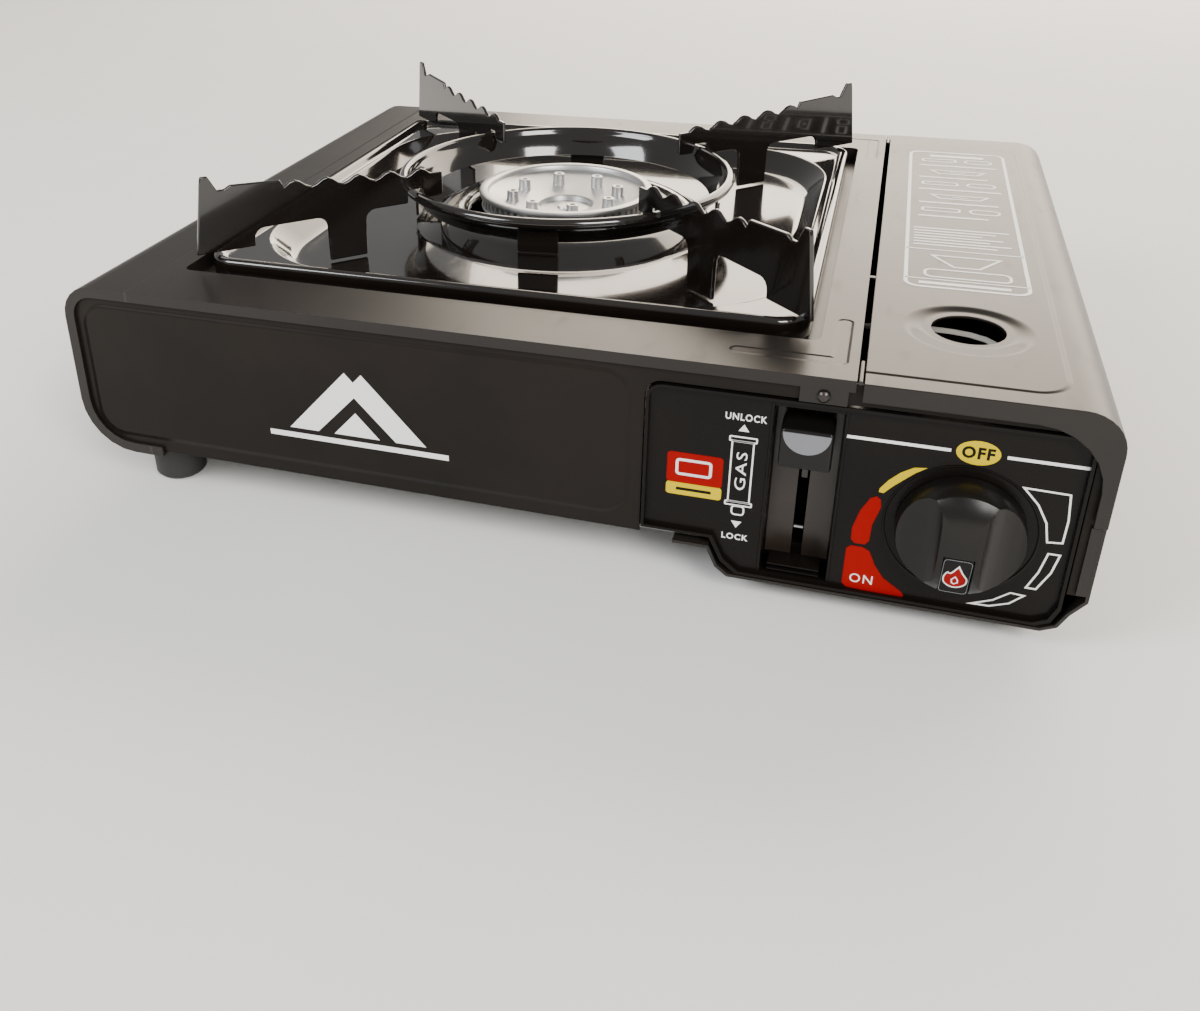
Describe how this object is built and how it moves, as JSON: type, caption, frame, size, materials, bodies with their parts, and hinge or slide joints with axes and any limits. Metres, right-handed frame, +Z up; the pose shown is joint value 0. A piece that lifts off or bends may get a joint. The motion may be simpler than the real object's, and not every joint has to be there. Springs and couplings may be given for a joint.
{
  "type": "camping stove",
  "caption": "Portable gas stove with an enamelled square tray, wind ring and pan arms, a canister bay under a hinged lid, and a control panel with a knob and lock lever.",
  "frame": {"origin": "on the ground under the middle of the overall width and depth", "axes": "+Z up, -Y out of the front with the knob, +X towards the canister bay"},
  "size_m": [0.343, 0.2942, 0.1144],
  "materials": {
    "main_shell": "satin black paint",
    "bezel_screw": "bright zinc",
    "front_panel": "satin black paint",
    "rear_panel": "satin black paint",
    "bay_shell": "satin black paint",
    "base_plate": "galvanised sheet",
    "foot_front_left": "black rubber",
    "foot_front_right": "black rubber",
    "foot_rear_left": "black rubber",
    "foot_rear_right": "black rubber",
    "partition": "galvanised sheet",
    "heat_plate": "mill finish",
    "cradle_front": "galvanised sheet",
    "cradle_rear": "galvanised sheet",
    "lid": "satin black paint",
    "lid_hinge_pin_front": "bright zinc",
    "lid_hinge_pin_rear": "bright zinc",
    "drip_tray": "gloss black vitreous enamel",
    "wind_ring": "gloss black vitreous enamel",
    "pan_arm_front_left": "gloss black vitreous enamel",
    "pan_arm_front_right": "gloss black vitreous enamel",
    "pan_arm_rear_left": "gloss black vitreous enamel",
    "pan_arm_rear_right": "gloss black vitreous enamel",
    "burner_head": "turned die casting",
    "burner_cup": "die casting",
    "burner_stand": "galvanised sheet",
    "mixing_tube": "galvanised tube",
    "nozzle": "turned brass",
    "gas_pipe": "drawn pipe",
    "regulator_body": "die casting",
    "valve_seal": "black rubber",
    "regulator_cap": "zinc plated",
    "regulator_bracket": "galvanised sheet",
    "piezo_igniter": "moulded plastic",
    "igniter_electrode": "white glazed ceramic with a steel tip",
    "ignition_wire": "white sleeve",
    "control_panel": "gloss black moulding",
    "knob": "gloss black moulding",
    "knob_insert": "gloss black moulding",
    "valve_spindle": "turned brass",
    "lock_lever": "zinc plated sheet",
    "lever_cap": "grey moulding",
    "collar_fork": "zinc plated sheet"
  },
  "bodies": {
    "casing": {"main_shell": "main_shell", "bezel_screw": "bezel_screw", "front_panel": "front_panel", "rear_panel": "rear_panel", "bay_shell": "bay_shell", "base_plate": "base_plate", "foot_front_left": "foot_front_left", "foot_front_right": "foot_front_right", "foot_rear_left": "foot_rear_left", "foot_rear_right": "foot_rear_right", "partition": "partition", "heat_plate": "heat_plate", "cradle_front": "cradle_front", "cradle_rear": "cradle_rear", "lid_hinge_pin_front": "lid_hinge_pin_front", "lid_hinge_pin_rear": "lid_hinge_pin_rear", "burner_head": "burner_head", "burner_cup": "burner_cup", "burner_stand": "burner_stand", "mixing_tube": "mixing_tube", "nozzle": "nozzle", "gas_pipe": "gas_pipe", "regulator_body": "regulator_body", "valve_seal": "valve_seal", "regulator_cap": "regulator_cap", "regulator_bracket": "regulator_bracket", "piezo_igniter": "piezo_igniter", "igniter_electrode": "igniter_electrode", "ignition_wire": "ignition_wire", "control_panel": "control_panel"},
    "lid": {"lid": "lid"},
    "knob": {"knob": "knob", "knob_insert": "knob_insert", "valve_spindle": "valve_spindle"},
    "lever": {"lock_lever": "lock_lever", "lever_cap": "lever_cap"},
    "fork": {"collar_fork": "collar_fork"},
    "pan_support": {"drip_tray": "drip_tray", "wind_ring": "wind_ring", "pan_arm_front_left": "pan_arm_front_left", "pan_arm_front_right": "pan_arm_front_right", "pan_arm_rear_left": "pan_arm_rear_left", "pan_arm_rear_right": "pan_arm_rear_right"}
  },
  "joints": [
    {"name": "lid_hinge", "type": "hinge", "parent": "casing", "child": "lid", "pos_m": [0.101, 0.00485, 0.0815], "axis": [0, -1, 0], "range_deg": [0, 95]},
    {"name": "knob_turn", "type": "hinge", "parent": "casing", "child": "knob", "pos_m": [0.134, -0.13415, 0.037], "axis": [0, -1, 0], "range_deg": [0, 135]},
    {"name": "lever_slide", "type": "slide", "parent": "casing", "child": "lever", "axis": [0, 0, -1], "range_m": [0, 0.028]},
    {"name": "fork_slide", "type": "slide", "parent": "casing", "child": "fork", "axis": [0, -1, 0], "range_m": [0, 0.004]},
    {"name": "support_lift", "type": "slide", "parent": "casing", "child": "pan_support", "axis": [0, 0, 1], "range_m": [0, 0.06]}
  ],
  "couplings": [
    {"joint": "fork_slide", "follows": "lever_slide", "ratio": 0.14286}
  ]
}
